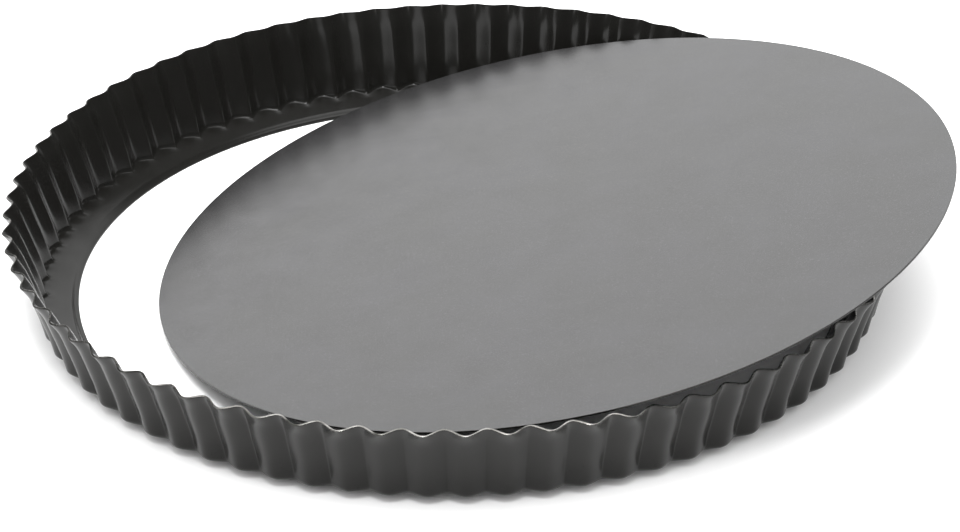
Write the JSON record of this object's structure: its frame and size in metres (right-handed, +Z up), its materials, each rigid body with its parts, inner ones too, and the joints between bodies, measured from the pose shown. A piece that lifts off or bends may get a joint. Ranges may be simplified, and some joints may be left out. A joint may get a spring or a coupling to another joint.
{
  "type": "tart pan",
  "caption": "Shallow fluted steel baking ring with an inward ledge and a loose flat base disc, shown lifted out of its seat and leaning on the rim.",
  "frame": {"origin": "on the surface that the pan stands on, under the centre of the whole pan's box; the ring's own axis stands 6.1 mm to -X of it", "axes": "+X towards the side where the disc leans out over the rim, which is the pan's longest extent; +Z up, along the ring's axis, which is its shortest extent; +Y completes the right-handed frame"},
  "size_m": [0.2924, 0.2804, 0.0473],
  "materials": {
    "ring_coating": "satin dark grey non-stick coating on pressed sheet steel",
    "disc_coating": "semi-gloss grey non-stick coating on flat sheet steel"
  },
  "bodies": {
    "ring": {"fluted_ring": "ring_coating"},
    "disc": {"base_disc": "disc_coating"}
  },
  "joints": [
    {"name": "disc_lift", "type": "slide", "parent": "ring", "child": "disc", "axis": [0, 0, 1], "range_m": [0, 0.1]}
  ]
}
